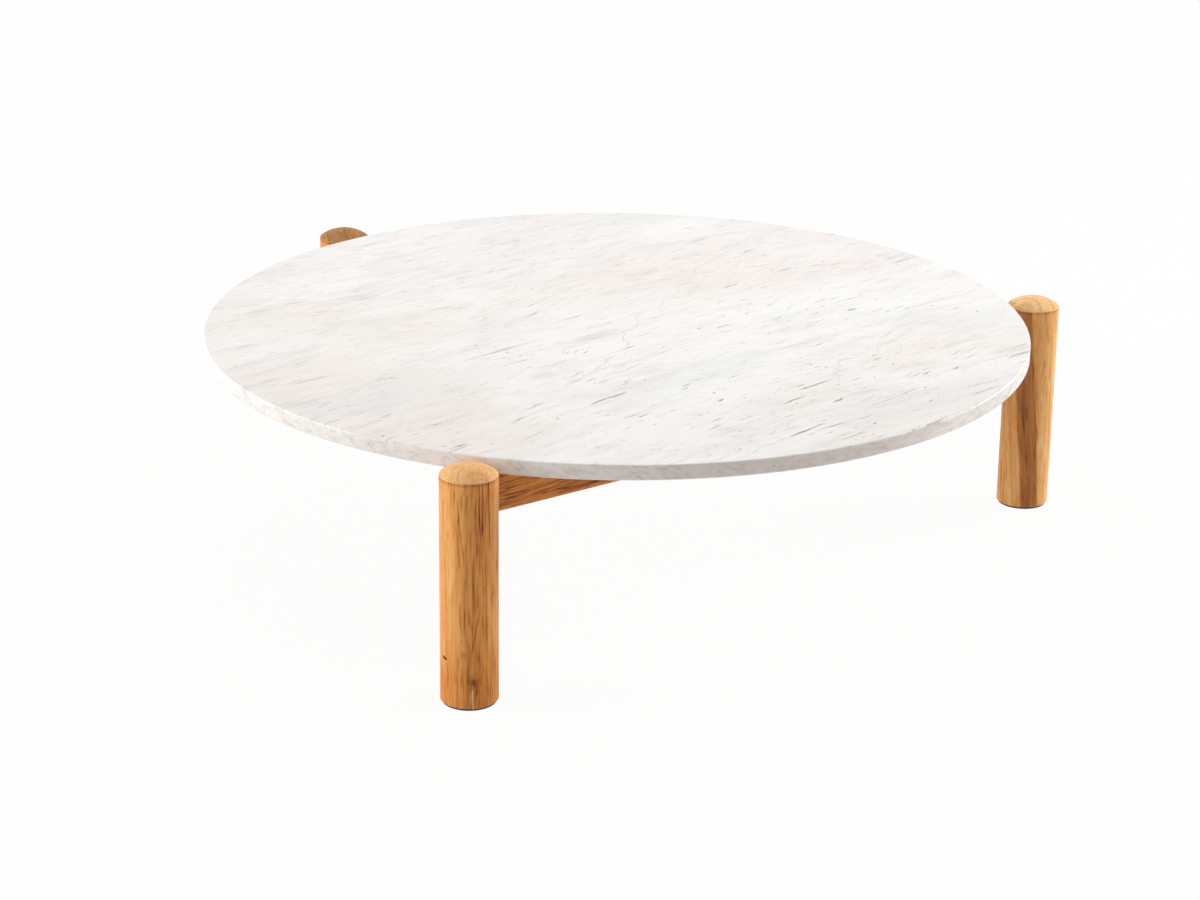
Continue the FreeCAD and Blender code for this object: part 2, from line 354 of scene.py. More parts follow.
def dashes(tree, vector, stretch, low, high, seed):
    values = {"Vector": vector, "Stretch": stretch, "Low": low, "High": high, "Seed": seed}
    return put(tree, "Group", values, node_tree=dashMask)["Mask"]


# Teak

teak = {
    # stretch, amount
    "bends": (((7, 7, 2.2), 0.013), ((34, 34, 10), 0.0034), ((95, 95, 38), 0.0014)),
    # stretch, detail, roughness, weight
    "clouds": {"streak": ((165, 165, 8), 4.0, 0.62, 0.54), "broad": ((24, 24, 3), 2.0, 0.5, 0.42),
               "fibre": ((600, 600, 26), 2.0, 0.55, 0.48)},
    # stretch, low, high, weight
    "dashes": {"stain": ((150, 150, 8.5), 0.57, 0.74, -0.18),
               "fleck": ((360, 360, 24), 0.57, 0.72, -0.22),
               "pore": ((1150, 1150, 62), 0.6, 0.72, -0.12)},
    "ringNoise": (3.0, 0.62, 3.0), "ringDrift": 5.0, "ringLine": (0.53, 0.7), "lineWeight": -0.22,
    "ringPale": (0.3, 0.47, 1.0, 0.0), "paleWeight": 0.08, "endRingWidth": 0.75, "endRings": 2.6,
    "heartSoft": 0.72, "heartShade": (126, 88, 58), "endHeart": 0.45,
    "tone": 0.65, "rough": (0.2, 0.9, 0.62, 0.46), "poreDepth": -0.8,
    "shades": ((0.0, (86, 46, 20)), (0.25, (155, 88, 40)), (0.5, (214, 134, 61)),
               (0.72, (235, 169, 94)), (1.0, (250, 209, 151))),
    "specular": 0.22, "bump": (0.25, 0.0004), "seedShift": 0.37,
    "lineBend": ((60, 60, 34), 0.003), "lineCore": 0.3, "lineOut": (0.005, 0.015),
    "lineFoot": (-0.012, 0.01), "lineHead": (-0.012, 0.004),
    "knotBend": (130, 130, 80), "knotSway": 1.6, "knotSquash": (1, 1, 0.65),
    "footBand": (0.02, 0.13), "domeFacing": (0.45, 0.8),
    "underRimBand": (-0.007, -0.0012), "underRimDark": -0.2,
    "rimLow": (0.08, 0.35), "rimHigh": (0.6, 0.79), "rimHighlightShade": (252, 222, 172),
    "paleStreakNoise": ((40, 40, 85), 1.0, 0.5), "paleStreakBreaks": (0.3, 0.42),
    "paleStreakShade": (252, 232, 204),
}


def buildTeakFigure():  # solid wood round a pith on the pattern's Z axis
    takes = {"Vector": (0, 0, 0), "Ring width": 0.006, "Heart radius": 0.012, "Heart depth": 0.3,
             "Heart grey": 0.0, "Lift": 0.0, "Swirl": 0.0, "End": 0.0, "Contrast": 1.0, "Seed": 0.0}
    group, has, leave = newGroup(
        "teakFigure", takes, {"Color": "Color", "Roughness": "Float", "Height": "Float"})

    def onEnd(value):  # 1 along the grain, the value on end grain
        return fade(group, has["End"], 0.0, 1.0, 1.0, value)

    bent = has["Vector"]
    for row in teak["bends"]:
        bent = bend(group, bent, *row, has["Seed"])
    radius = measure(group, "LENGTH", vectorCalc(group, "MULTIPLY", bent, (1, 1, 0)))
    radius = calc(group, "ADD", radius, has["Swirl"])
    ringWidth = times(group, has["Ring width"], onEnd(teak["endRingWidth"]))
    ringSpace = put(group, "CombineXYZ", {
        "X": calc(group, "DIVIDE", radius, ringWidth),
        "Y": times(group, part(group, bent, "Z"), teak["ringDrift"]), "Z": has["Seed"]})[0]
    rings = cloud(group, ringSpace, (1, 1, 1), *teak["ringNoise"])
    line = fade(group, rings, *teak["ringLine"])
    pale = times(group, fade(group, rings, *teak["ringPale"]), teak["paleWeight"])
    heartCore = times(group, has["Heart radius"], teak["heartSoft"])
    heart = fade(group, radius, heartCore, has["Heart radius"], 1.0, 0.0)
    heart = times(group, heart, onEnd(teak["endHeart"]))  # fainter on the domes
    # along the grain the streaks lead, on end grain the rings
    parts, figure = {}, 0.0
    for name, (*noise, weight) in teak["clouds"].items():
        parts[name] = cloud(group, bent, *noise, has["Seed"])
        centred = calc(group, "SUBTRACT", parts[name], 0.5)
        figure = calc(group, "MULTIPLY_ADD", centred, weight, figure)
    for name, (*row, weight) in teak["dashes"].items():
        parts[name] = dashes(group, bent, *row, has["Seed"])
        figure = calc(group, "MULTIPLY_ADD", parts[name], weight, figure)
    figure = times(group, figure, has["Contrast"])
    growth = calc(group, "MULTIPLY_ADD", line, teak["lineWeight"], pale)
    growth = times(group, growth, onEnd(teak["endRings"]))
    tone = calc(group, "ADD", teak["tone"], has["Lift"])
    tone = calc(group, "ADD", calc(group, "ADD", tone, figure), growth)
    tone = calc(group, "SUBTRACT", tone, times(group, heart, has["Heart depth"]))
    colour = ramp(group, tone, [(place, shade(*mix)) for place, mix in teak["shades"]])
    grey = times(group, heart, has["Heart grey"])
    feed(group, leave, {
        "Color": tint(group, grey, colour, shade(*teak["heartShade"])),
        "Roughness": fade(group, tone, *teak["rough"]),
        "Height": calc(group, "MULTIPLY_ADD", parts["pore"], teak["poreDepth"], parts["fibre"])})
    return group


teakFigure = buildTeakFigure()


def grainLine(tree, wavy, heading, head, foot, slant, width, amount):  # a line down a leg's side
    heading = math.radians(heading)
    off = vectorCalc(tree, "SUBTRACT", wavy, (0, 0, head))
    aside = measure(tree, "DOT_PRODUCT", off, (-math.sin(heading), math.cos(heading), slant))
    aside = calc(tree, "ABSOLUTE", aside)
    out = measure(tree, "DOT_PRODUCT", off, (math.cos(heading), math.sin(heading), 0))
    level = part(tree, wavy, "Z")
    return times(
        tree, fade(tree, aside, width * teak["lineCore"], width, amount, 0.0),
        fade(tree, out, *teak["lineOut"]),
        fade(tree, level, *[foot + past for past in teak["lineFoot"]]),
        fade(tree, level, *[head + past for past in teak["lineHead"]], 1.0, 0.0))


def teakFinish(name, middle, turn, tilt, pith, ringWidth, heartRadius, heartDepth, lift, seed,
               heartGrey=0.0, contrast=1.0, knots=(), lines=(), paleStreak=None, pocket=None,
               footDark=0.0, endTop=None, domeLightLift=0.1, endPale=0.2, endShade=(250, 214, 160),
               rimHighlight=0.5):
    # middle: the pattern's centre; turn: round Z, before the grain's tilt; pith: the rings' centre
    finish, tree, shader, where = newFinish(name, {"Specular IOR Level": teak["specular"]})
    centred = mapped(tree, where, move=[-c for c in middle])
    turned = mapped(tree, centred, (0, 0, turn))
    grain = mapped(tree, turned, tilt, (-pith[0], -pith[1], seed * teak["seedShift"]))
    level = part(tree, where, "Z")
    swirl, end = 0.0, 0.0
    for place, radius, dark, reach, push in knots:  # the grain runs round a knot, which is darker
        away = vectorCalc(tree, "SUBTRACT", where, place)
        away = bend(tree, away, teak["knotBend"], radius * teak["knotSway"], seed)
        away = measure(tree, "LENGTH", vectorCalc(tree, "MULTIPLY", away, teak["knotSquash"]))
        swirl = calc(tree, "ADD", fade(tree, away, 0.0, reach, push, 0.0), swirl)
        lift = calc(tree, "ADD", fade(tree, away, 0.0, radius, -dark, 0.0), lift)
    if lines or paleStreak:
        wavy = bend(tree, centred, *teak["lineBend"], seed)
    for line in lines:  # single dark lines in the grain
        lift = calc(tree, "SUBTRACT", lift, grainLine(tree, wavy, *line))
    if pocket:  # painted shade: the walls of the open resin pocket are darkened
        out = measure(tree, "LENGTH", vectorCalc(tree, "MULTIPLY", centred, (1, 1, 0)))
        apart = calc(tree, "ABSOLUTE", calc(tree, "SUBTRACT", level, pocket["height"]))
        inside = times(tree, fade(tree, out, *pocket["wall"], pocket["dark"], 0.0),
                       fade(tree, apart, *pocket["reach"], 1.0, 0.0))
        lift = calc(tree, "SUBTRACT", lift, inside)
    if footDark:
        lift = calc(tree, "ADD", fade(tree, level, *teak["footBand"], -footDark, 0.0), lift)
    if endTop:  # the sides are darker in a thin band just under the dome's rim
        facing = facingUp(tree)
        end = fade(tree, facing, *teak["domeFacing"])
        underRimBand = [endTop + past for past in teak["underRimBand"]]
        underRim = fade(tree, level, *underRimBand, 0.0, teak["underRimDark"])
        # painted light: the upward-facing dome's tone is lifted, and where the lift is negative it
        # is painted shade
        lift = calc(tree, "ADD", calc(tree, "MULTIPLY_ADD", end, domeLightLift, underRim), lift)
    values = {"Vector": grain, "Ring width": ringWidth, "Heart radius": heartRadius,
              "Heart depth": heartDepth, "Heart grey": heartGrey, "Lift": lift, "Swirl": swirl,
              "End": end, "Contrast": contrast, "Seed": seed}
    wood = put(tree, "Group", values, node_tree=teakFigure)
    colour = wood["Color"]
    if endTop:  # painted light: the upward-facing dome is painted paler, and a painted highlight makes the rim round it palest
        pale = fade(tree, facing, *teak["domeFacing"], 0.0, endPale)
        colour = tint(tree, pale, colour, shade(*endShade))
        rim = times(tree, fade(tree, facing, *teak["rimLow"]),
                    fade(tree, facing, *teak["rimHigh"], rimHighlight, 0.0))
        colour = tint(tree, rim, colour, shade(*teak["rimHighlightShade"]))
    if paleStreak:  # a pale broken line up from the foot
        broken = patch(tree, centred, (*teak["paleStreakNoise"], seed), teak["paleStreakBreaks"])
        mask = times(tree, grainLine(tree, wavy, *paleStreak), broken)
        colour = tint(tree, mask, colour, shade(*teak["paleStreakShade"]))
    feed(tree, shader, {"Base Color": colour, "Roughness": wood["Roughness"],
                        "Normal": bumped(tree, wood["Height"], *teak["bump"])})
    return finish


# Marble disc

stone = {
    "segments": 320, "edge": (0.0025, 4), "streakHeading": math.radians(57),
    "beddingDip": math.radians(48), "dashTurn": math.radians(5), "frontRight": (0.67, -0.74, 0),
    "white": shade(248, 247, 243), "pink": shade(242, 232, 227), "grey": shade(231, 232, 228),
    "vein": shade(160, 152, 145), "fleck": shade(106, 99, 95), "rust": shade(184, 146, 118),
    # stretch, amount, seed
    "bends": (((2.4, 5, 2), 0.06, 2.0), ((16, 34, 8), 0.01, 5.0), ((75, 130, 30), 0.0036, 6.0)),
    # a noise's stretch, detail, roughness and seed, then the band of it that shows
    "cool": (((2.6, 8, 3), 3.0, 0.55, 7.0), (0.5, 0.7, 0.0, 0.6)),
    "cluster": (((3, 7, 4), 2.0, 0.5, 17.0), (0.38, 0.62, 0.1, 1.0)),
    "mottle": (((70, 70, 170), 3.0, 0.6, 37.0), (0.45, 0.72, 0.0, 0.3)),
    "polish": (((35, 35, 35), 3.0, 0.6, 41.0), (0.3, 0.7, 0.14, 0.24)),
    "warmNoise": ((1.8, 3.6, 2), 3.0, 0.55, 4.0), "warmBand": (0.44, 0.66, 0.0, 0.8),
    "warmLeft": (-0.5, -0.15, 0.1, 0.0), "warmOnSide": 0.2,
    # bends, stretch, low, high, amounts at the back left and the front right, seed
    "wisps": ((2, (7.5, 26, 9), 0.46, 0.72, (0.14, 0.14), 12.0),
              (2, (7.0, 70, 12), 0.49, 0.74, (0.26, 0.26), 11.0),
              (3, (30, 230, 40), 0.52, 0.76, (0.62, 0.36), 13.0)),
    "wispNoise": (4.0, 0.64), "wispReach": (-0.4, 0.1),
    # stretch, low, high, seed, amount
    "dashes": (((24, 280, 46), 0.675, 0.755, 19.0, 0.85), ((72, 300, 80), 0.7, 0.775, 23.0, 0.9),
               ((10, 190, 26), 0.65, 0.745, 29.0, 0.72)),
    "dashOnSide": 0.3, "dashReach": (-0.4, 0.25, 0.5, 1.0), "dashLeft": (-0.35, 0.05, 0.45, 1.0),
    "rustDashes": ((60, 130, 60), 0.72, 0.8, 43.0), "rustAmount": 0.5,
    # place, direction across, length, amount, seed
    "hairs": (((0.041, 0.54, 0), (1.0, 0.0, 0.0), 0.8, 0.42, 31.0),
              ((0.43, 0.12, 0), (0.91, -0.42, 0.0), 0.3, 0.3, 47.0)),
    "hairSways": ((4.0, 0.16), (18.0, 0.05), (70.0, 0.012)),  # stretch, amount
    "hairWidth": (0.0003, 0.0016), "hairEnd": 0.05, "hairNoise": ((22, 22, 22), 2.0, 0.6),
    "hairBreaks": (0.4, 0.58, 0.15),
    # side tints: partly the honed finish, partly painted light at the left and painted shade with a
    # painted warm reflection at the front right
    "sideFacing": (0.2, 0.7, 1.0, 0.0), "sideTint": (0.965, 0.92, 0.905, 1),
    "sideLitTint": (0.985, 0.965, 0.955, 1), "litLeft": (-0.35, 0.05, 1.0, 0.0),
    "sideShadeTint": (0.9, 0.825, 0.8, 1), "shadedReach": (0.545, 0.59), "honed": (0.8, 0.98, 0.25, 0.0),
}


def hairVein(tree, where, place, across, length, amount, seed):  # a thin wavering, broken sheet
    off = vectorCalc(tree, "SUBTRACT", where, place)
    aside = measure(tree, "DOT_PRODUCT", off, across)
    run = measure(tree, "DOT_PRODUCT", off, (across[1], -across[0], 0))
    for stretch, sway in stone["hairSways"]:
        wave = cloud(tree, where, (stretch, stretch, stretch), 1.0, 0.5, seed)
        aside = calc(tree, "MULTIPLY_ADD", calc(tree, "SUBTRACT", wave, 0.5), sway, aside)
    return times(
        tree, fade(tree, calc(tree, "ABSOLUTE", aside), *stone["hairWidth"], 1.0, 0.0),
        fade(tree, run, 0.0, stone["hairEnd"]),
        fade(tree, run, length - stone["hairEnd"], length, 1.0, 0.0),
        patch(tree, where, (*stone["hairNoise"], seed), (*stone["hairBreaks"], amount)))


def marbleFinish():
    finish, tree, shader, where = newFinish("polishedMarble", {})
    turned = mapped(tree, where, (0, 0, -stone["streakHeading"]))
    spaces = [mapped(tree, turned, (stone["beddingDip"], 0, 0))]
    for row in stone["bends"]:
        spaces.append(bend(tree, spaces[-1], *row))
    bent, fine = spaces[2:]
    facing = calc(tree, "ABSOLUTE", facingUp(tree))
    side = fade(tree, facing, *stone["sideFacing"])
    sideways = part(tree, where, "X")
    reach = measure(tree, "DOT_PRODUCT", where, stone["frontRight"])

    def onSide(value):  # 1 on the faces, the value on the sides
        return fade(tree, side, 0.0, 1.0, 1.0, value)

    warm = cloud(tree, bent, *stone["warmNoise"])
    warm = calc(tree, "ADD", warm, fade(tree, sideways, *stone["warmLeft"]))
    warm = times(tree, fade(tree, warm, *stone["warmBand"]), onSide(stone["warmOnSide"]))
    colour = tint(tree, warm, stone["white"], stone["pink"])
    colour = tint(tree, patch(tree, bent, *stone["cool"]), colour, stone["grey"])
    # wisps drawn out along the bedding, the finest of them clearer towards the back left
    for bends, stretch, low, high, amounts, seed in stone["wisps"]:
        noise = (stretch, *stone["wispNoise"], seed)
        amount = fade(tree, reach, *stone["wispReach"], *amounts)
        wisp = patch(tree, spaces[bends], noise, (low, high, 0.0, amount))
        colour = tint(tree, wisp, colour, stone["vein"])
    # dashes and specks, which come in clusters, most of them towards the front right
    cluster = times(
        tree, patch(tree, bent, *stone["cluster"]), onSide(stone["dashOnSide"]),
        fade(tree, reach, *stone["dashReach"]), fade(tree, sideways, *stone["dashLeft"]))
    slanted = mapped(tree, fine, (0, 0, -stone["dashTurn"]))
    for *row, amount in stone["dashes"]:
        dash = times(tree, dashes(tree, slanted, *row), cluster, amount)
        colour = tint(tree, dash, colour, stone["fleck"])
    for hair in stone["hairs"]:
        colour = tint(tree, hairVein(tree, where, *hair), colour, stone["vein"])
    rust = times(tree, dashes(tree, fine, *stone["rustDashes"]), stone["rustAmount"])
    colour = tint(tree, rust, colour, stone["rust"])
    # the sides are mottled, and tinted warmer and darker, partly by their honed finish and partly
    # as painted shade with a painted warm reflection; painted light makes them paler at the left,
    # painted shade darkest and warmest at the front right
    mottle = times(tree, side, patch(tree, where, *stone["mottle"]))
    colour = tint(tree, mottle, colour, stone["vein"])
    left = fade(tree, sideways, *stone["litLeft"])
    sideTint = tint(tree, left, stone["sideTint"], stone["sideLitTint"])
    sideTint = tint(tree, fade(tree, reach, *stone["shadedReach"]), sideTint, stone["sideShadeTint"])
    colour = tint(tree, side, colour, sideTint, "MULTIPLY")
    polish = patch(tree, where, *stone["polish"])
    polish = calc(tree, "ADD", polish, fade(tree, facing, *stone["honed"]))
    feed(tree, shader, {"Base Color": colour, "Roughness": polish})
    return finish


def buildStone():
    low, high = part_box("stone_top")
    bpy.ops.mesh.primitive_cylinder_add(
        vertices=stone["segments"], radius=(high.x - low.x) / 2, depth=high.z - low.z,
        location=(low + high) / 2)
    disc = named("marble_top")
    softenEdges(disc, lambda a, b: abs(a.z - b.z) < mergeGap, *stone["edge"])
    dress(disc, marbleFinish(), "stone", "marble", "stone_top")


# Turned legs

leg = {
    "segments": 96, "domeRise": 0.013, "domeSteps": 14, "rimEdge": (0.0016, 4),
    "footChamfer": 0.0015, "spigotRoom": 0.0003, "screwHole": 0.0021, "screwDepth": 0.0331,
    "jointBand": 0.027,
}
lowLeg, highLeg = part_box("leg_front")
legRadius = (highLeg.x - lowLeg.x) / 2
legReach = -(lowLeg.y + highLeg.y) / 2
lowPad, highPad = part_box("foot_pad_front")
padRadius = (highPad.x - lowPad.x) / 2
cornerPlaces = [(-legReach * math.cos(t), -legReach * math.sin(t), 0) for t in cornerTurns]
corners = list(zip(cornerNames, cornerTurns, cornerPlaces))

rail = {
    "endDepth": 0.0510, "taperLength": 0.296, "bendRadius": 0.9, "bendSteps": 6,
    "bendSpread": 0.022, "edge": (0.0015, 3), "mitreGap": 0.0001, "notchRoom": 0.0002,
    "bearing": math.radians(30), "seeds": (20.0, 23.0, 26.0),
    "look": {"tilt": (0, math.pi / 2, 0), "pith": (0.06, 0.03), "ringWidth": 0.006,
             "heartRadius": 0.03, "heartDepth": 0.2, "lift": -0.24, "heartGrey": 0.2,
             "contrast": 1.5},
}
lowRail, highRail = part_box("rail_back")
railThickness = highRail.y - lowRail.y
railTop = highRail.z
railReach = (lowRail.y + highRail.y) / 2
railHalf = legReach * math.sin(math.radians(60))
railSlope = (railTop - rail["endDepth"] - lowRail.z) / rail["taperLength"]
jointHeight = railTop - rail["endDepth"] / 2
sine, cosine = math.sin(rail["bearing"]), math.cos(rail["bearing"])
middleInset = legReach * math.cos(math.radians(60)) - railReach  # from the line between the legs
outerInset, innerInset = middleInset - railThickness / 2, middleInset + railThickness / 2
mitreOuter, mitreInner = outerInset / sine, innerInset / sine
notchApex = (outerInset - rail["notchRoom"]) / sine

slit = {"leg": "front", "place": (-0.0229, -0.6745, 0.0695), "heading": math.radians(-126),
        "slant": math.radians(-20), "long": 0.0088, "tall": 0.004, "deep": 0.01,
        "edge": (0.0018, 3)}
# The dome lifts, dome colours and rim amounts below paint light and shade on each leg's dome.
legLooks = {
    "front": {
        "turn": 0.0, "tilt": (0.012, -0.01, 0), "pith": (0.0185, -0.0236), "ringWidth": 0.0042,
        "heartRadius": 0.024, "heartDepth": 0.1, "lift": 0.045, "seed": 4.0, "domeLightLift": 0.29,
        "footDark": 0.13,
        # place, radius, dark, reach, push
        "knots": (((0.0177, -0.6777, 0.0395), 0.013, 0.36, 0.024, 0.005),
                  ((0.006, -0.6815, 0.0796), 0.007, 0.2, 0.02, 0.006)),
        # heading, head, foot, slant, width, amount
        "lines": (
            (-94, 0.298, 0.215, 0.1, 0.0012, 0.28), (-50.5, 0.32, 0.262, 0, 0.0013, 0.3),
            (-43.5, 0.32, 0.25, 0, 0.0015, 0.32), (-29.5, 0.32, 0.225, 0.02, 0.0015, 0.36),
            (-57, 0.294, 0.245, 0, 0.0013, 0.28), (-43.5, 0.21, 0.165, 0, 0.0012, 0.25),
            (-88.3, 0.155, 0.12, 0, 0.0012, 0.28), (-49.5, 0.14, 0.085, -0.19, 0.0014, 0.28)),
        "paleStreak": (-63.9, 0.0375, -0.02, 0, 0.001, 0.85),
        # painted shade that darkens the walls of the resin pocket
        "pocket": {"height": slit["place"][2], "reach": (0.01, 0.013), "dark": 0.9,
                   "wall": (legRadius - 0.0009, legRadius - 0.0003)}},
    "right": {
        "turn": 0.0, "tilt": (0.02, 0.0836, 0), "pith": (0.0181, -0.0383), "ringWidth": 0.005,
        "heartRadius": 0.016, "heartDepth": 0.25, "heartGrey": 0.38, "lift": 0.16, "seed": 9.0,
        "domeLightLift": 0.25, "endPale": 0.3},
    # painted shade: the left leg and its dome are painted darker, with a darker dome colour and a
    # fainter painted rim highlight, on top of a small difference in the wood's own tone
    "left": {
        "turn": 0.4, "tilt": (0.01, 0.01, 0), "pith": (0.05, 0.03), "ringWidth": 0.0045,
        "heartRadius": 0.02, "heartDepth": 0.2, "lift": -0.1, "seed": 14.0, "domeLightLift": -0.03,
        "endShade": (170, 150, 105), "endPale": 0.3, "rimHighlight": 0.1},
}


def onBearing(distance, side, sign=1):  # a corner's plan point along a rail, and inwards of it
    return Vector((distance * cosine + side * sine, sign * (distance * sine - side * cosine), 0))


def onAxis(x):  # a point on a corner's bolt axis
    return Vector((x, 0, jointHeight))


def legNotch():  # the wedge that holds the rails' mitred corner
    inset, far = outerInset - rail["notchRoom"], 2 * legRadius
    outline = [Vector((notchApex, 0, 0)), onBearing(far, inset, -1), onBearing(far, inset)]
    low = railTop - rail["endDepth"] - legRadius * railSlope - rail["notchRoom"]
    return standUp("notch", outline, low, railTop + rail["notchRoom"])


def resinSlit():  # a short open resin pocket low on one leg
    cutter = block("slit", (slit["deep"], slit["long"], slit["tall"]), (0, 0, 0))
    softenEdges(cutter, lambda a, b: abs(a.x - b.x) > slit["deep"] / 2, *slit["edge"])
    cutter.rotation_euler = (slit["slant"], 0, slit["heading"])
    cutter.location = slit["place"]
    return settle(cutter)


def buildLegs():
    foot, crown = lowLeg.z, highLeg.z
    rim = crown - leg["domeRise"]
    recess = highPad.z
    socket = pad["spigot"] + leg["spigotRoom"]
    ball = (legRadius ** 2 + leg["domeRise"] ** 2) / (2 * leg["domeRise"])
    spread = math.asin(legRadius / ball)
    profile = [
        (0, leg["screwDepth"]), (leg["screwHole"], leg["screwDepth"] - leg["screwHole"]),
        (leg["screwHole"], recess), (socket, recess), (socket, foot),
        (legRadius - leg["footChamfer"], foot), (legRadius, foot + leg["footChamfer"]),
        (legRadius, jointHeight - leg["jointBand"]), (legRadius, jointHeight + leg["jointBand"]),
    ]
    for step in range(leg["domeSteps"] + 1):
        angle = spread * (1 - step / leg["domeSteps"])
        profile.append((ball * math.sin(angle), crown - ball + ball * math.cos(angle)))
    turned = turnOnLathe("turned_leg", profile, leg["segments"])
    softenEdges(
        turned, lambda a, b: abs(a.z - rim) < mergeGap and abs(b.z - rim) < mergeGap,
        *leg["rimEdge"])
    carve(turned, legNotch())
    carve(turned, rod("pilot", bolt["radius"] + bolt["legRoom"], onAxis(notchApex - bolt["inLeg"]),
                      onAxis(2 * legRadius)))
    for name, turn, place in corners:
        finish = teakFinish("oiledTeak_" + name, place, endTop=rim, **legLooks[name])
        twin = copyTo(turned, "teak_leg_" + name, turn, place)
        if name == slit["leg"]:
            carve(twin, resinSlit())
        dress(twin, finish, "base", "leg_teak", "leg_" + name)
    bpy.data.objects.remove(turned)


# Rails

tenon = {"thickness": 0.006, "width": 0.016, "inRail": 0.010, "rise": 0.013, "placeShare": 0.72,
         "room": 0.0001, "endRoom": 0.0005, "roundShare": 0.49, "roundSteps": 6}


def lowerEdge(x):  # height of the rail's lower edge, which rises towards the legs
    middle = lowRail.z
    slope = math.atan(railSlope)
    run = rail["bendRadius"] * math.tan(slope / 2)
    past = abs(x) - (railHalf - rail["taperLength"] - run)
    if past <= 0:
        return middle
    if past < run * (1 + math.cos(slope)):
        return middle + rail["bendRadius"] - math.sqrt(rail["bendRadius"] ** 2 - past ** 2)
    return middle + (past - run) * math.tan(slope)


def cornerBores():  # the bolt's hole and the tenons' mortises, in the corner's own frame
    bores = [rod("bore", bolt["radius"] + chevron["holeRoom"], onAxis(0), onAxis(seatX))]
    reach = tenon["inRail"] + tenon["endRoom"]
    thick, wide = tenon["thickness"] + 2 * tenon["room"], tenon["width"] + 2 * tenon["room"]
    place = mitreOuter + tenon["placeShare"] * (mitreInner - mitreOuter)
    for rise in (-tenon["rise"], tenon["rise"]):
        bar = block("mortise", (wide, 2 * reach, thick), (place, 0, jointHeight + rise))
        softenEdges(bar, lambda a, b: abs(a.y - b.y) > reach, thick * tenon["roundShare"],
                    tenon["roundSteps"])
        bores.append(bar)
    return joined("cornerBores", bores)


def buildRails():
    bar = block("rail_blank", (2 * railHalf, railThickness, railTop - lowRail.z),
                (0, 0, (railTop + lowRail.z) / 2))
    knee = railHalf - rail["taperLength"]
    stations = [railHalf]
    for step in range(rail["bendSteps"] + 1):
        stations.append(knee + rail["bendSpread"] * (2 * step / rail["bendSteps"] - 1))
    stations += [-x for x in stations]
    for x in stations:
        if abs(x) < railHalf:
            openAll(bar)
            bpy.ops.mesh.bisect(plane_co=(x, 0, 0), plane_no=(1, 0, 0))
            endEdit()
    for x in stations:  # only now, as a cut across a slope would miss the lower edge
        pick(bar, "VERT", lambda p: abs(p.x - x) < levelGap and p.z < lowRail.z + levelGap)
        bpy.ops.transform.translate(value=(0, 0, lowerEdge(x) - lowRail.z))
        endEdit()

    def longEdge(a, b):
        onTop = min(a.z, b.z) > railTop - levelGap
        below = max(a.z, b.z) < railTop - rail["endDepth"] / 2
        return (onTop or below) and abs(a.y - b.y) < levelGap and abs(a.x - b.x) > 10 * levelGap

    softenEdges(bar, longEdge, *rail["edge"])
    bores = cornerBores()
    cutters = []
    tip = middleInset - wingInner + screw["sink"] + screw["length"]
    for sign, turn in ((-1, -rail["bearing"]), (1, math.pi + rail["bearing"])):
        corner = Vector((sign * railHalf, middleInset, 0))
        across = Vector((-sign * sine, cosine, 0))
        openAll(bar)
        bpy.ops.mesh.bisect(plane_co=corner + across * rail["mitreGap"] / 2, plane_no=across,
                            use_fill=True, clear_inner=True)
        endEdit()
        cutters.append(copyTo(bores, "endBores", turn, corner))
        for reach in wingScrewPlaces():
            x = sign * (railHalf - reach)
            cutters.append(rod(
                "pilot", screw["shank"] + screw["room"], (x, -railThickness, jointHeight),
                (x, tip, jointHeight), screw["pilotSides"]))
    bpy.data.objects.remove(bores)
    tidyShell(bar)
    carve(bar, joined("railCutter", cutters))
    bar.location.y = railReach
    settle(bar)
    for name, turn, seed in zip(railNames, railTurns, rail["seeds"]):
        middle = Matrix.Rotation(turn, 3, "Z") @ Vector((0, railReach, railTop))
        finish = teakFinish("railTeak_" + name, middle, -turn, seed=seed, **rail["look"])
        twin = copyTo(bar, "teak_rail_" + name, turn)
        dress(twin, finish, "base", "rail_teak", "rail_" + name)
    bpy.data.objects.remove(bar)


# Corner blocks, hanger bolts and screws

chevron = {"noseGap": 0.006, "wingReach": 0.160, "wingThickness": 0.018, "seatHalf": 0.010,
           "edge": (0.0012, 2), "holeRoom": 0.0005, "seeds": (40.0, 43.0, 46.0),
           "look": {"tilt": (math.pi / 2, 0, 0), "pith": (0.02, 0.05), "ringWidth": 0.005,
                    "heartRadius": 0.03, "heartDepth": 0.15, "lift": -0.1}}
bolt = {"radius": 0.004, "inLeg": 0.031, "legRoom": 0.0001, "pastNut": 0.005,
        "endChamfer": 0.0008, "pitch": 0.00125, "threadDepth": 0.00062, "threadStart": 0.012,
        "ridgeRoot": 0.0002, "ridgeShare": 0.96, "steps": 32, "coilSteps": 24}
washer = {"radius": 0.008, "thickness": 0.0016, "bore": 0.0042, "edge": (0.0003, 2), "steps": 48}
nut = {"acrossFlats": 0.013, "height": 0.0065, "bore": 0.0041, "chamfer": 0.0007, "steps": 64}
screw = {"head": 0.004, "headHeight": 0.0024, "shank": 0.002, "length": 0.035, "sink": 0.0004,
         "placeShares": (0.28, 0.76), "slotWide": 0.0011, "slotLong": 0.0046, "slotDeep": 0.0021,
         "slotTaper": 0.45, "room": 0.0001, "mouth": 0.004, "steps": 32, "pilotSides": 24}
lowBlock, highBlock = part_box("corner_block_front")
wingInner = innerInset + chevron["wingThickness"]
seatX = wingInner / sine + chevron["seatHalf"] * cosine / sine
seatReach = (seatX - wingInner * sine) / cosine
outward = Vector((1, 0, 0))


def wingScrewPlaces():
    wing = chevron["wingReach"] - seatReach
    return [seatReach + share * wing for share in screw["placeShares"]]


